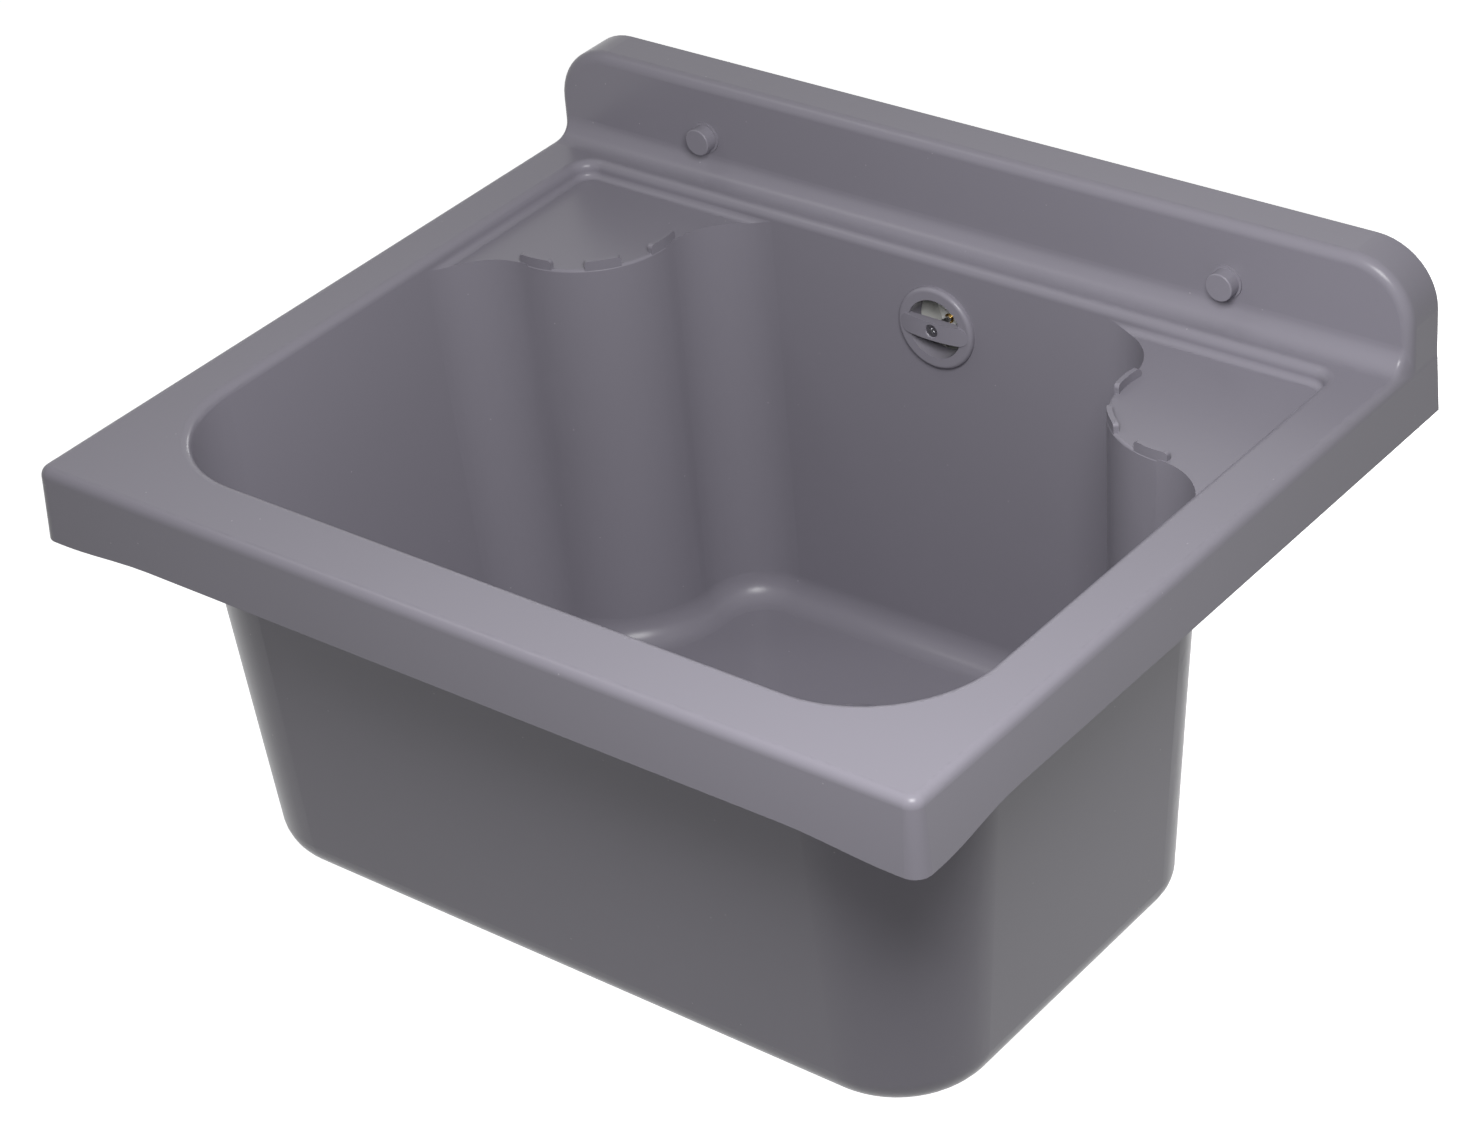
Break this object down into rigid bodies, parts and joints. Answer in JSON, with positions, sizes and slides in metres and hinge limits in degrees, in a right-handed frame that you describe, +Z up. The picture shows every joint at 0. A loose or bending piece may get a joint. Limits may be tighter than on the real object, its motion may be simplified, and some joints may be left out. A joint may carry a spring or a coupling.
{
  "type": "wall-mounted utility sink",
  "caption": "Deep one-piece plastic utility sink for wall mounting, with upstand, corner soap shelves, overflow rosette and waste outlet.",
  "frame": {"origin": "on the wall plane, midway between the two wall screws", "axes": "+Z up, +Y into the wall, +X to the right as seen from in front of the sink"},
  "size_m": [0.606, 0.55, 0.4205],
  "materials": {
    "basin_plastic": "satin, fine speckle",
    "cap_plastic": "satin",
    "waste_plastic": "satin",
    "hose_plastic": "satin, corrugated",
    "seal_rubber": "matte",
    "stainless_steel": "brushed",
    "zinc_steel": "zinc plated",
    "insert_brass": "turned"
  },
  "bodies": {
    "root": {"basin_shell": "basin_plastic", "wall_screws": "zinc_steel", "screw_washers": "cap_plastic", "overflow_rosette": "cap_plastic", "overflow_screw": "stainless_steel", "overflow_gasket": "seal_rubber", "overflow_elbow": "waste_plastic", "overflow_insert": "insert_brass", "overflow_hose": "hose_plastic", "hose_clips": "stainless_steel", "strainer": "stainless_steel", "strainer_screw": "stainless_steel", "strainer_seal": "seal_rubber", "waste_seal": "seal_rubber", "waste_body": "waste_plastic", "waste_insert": "insert_brass"},
    "left_cap": {"left_cap": "cap_plastic"},
    "right_cap": {"right_cap": "cap_plastic"}
  },
  "joints": [
    {"name": "left_cap_pull", "type": "slide", "parent": "root", "child": "left_cap", "axis": [0, -1, 0], "range_m": [0, 0.012]},
    {"name": "right_cap_pull", "type": "slide", "parent": "root", "child": "right_cap", "axis": [0, -1, 0], "range_m": [0, 0.012]}
  ]
}
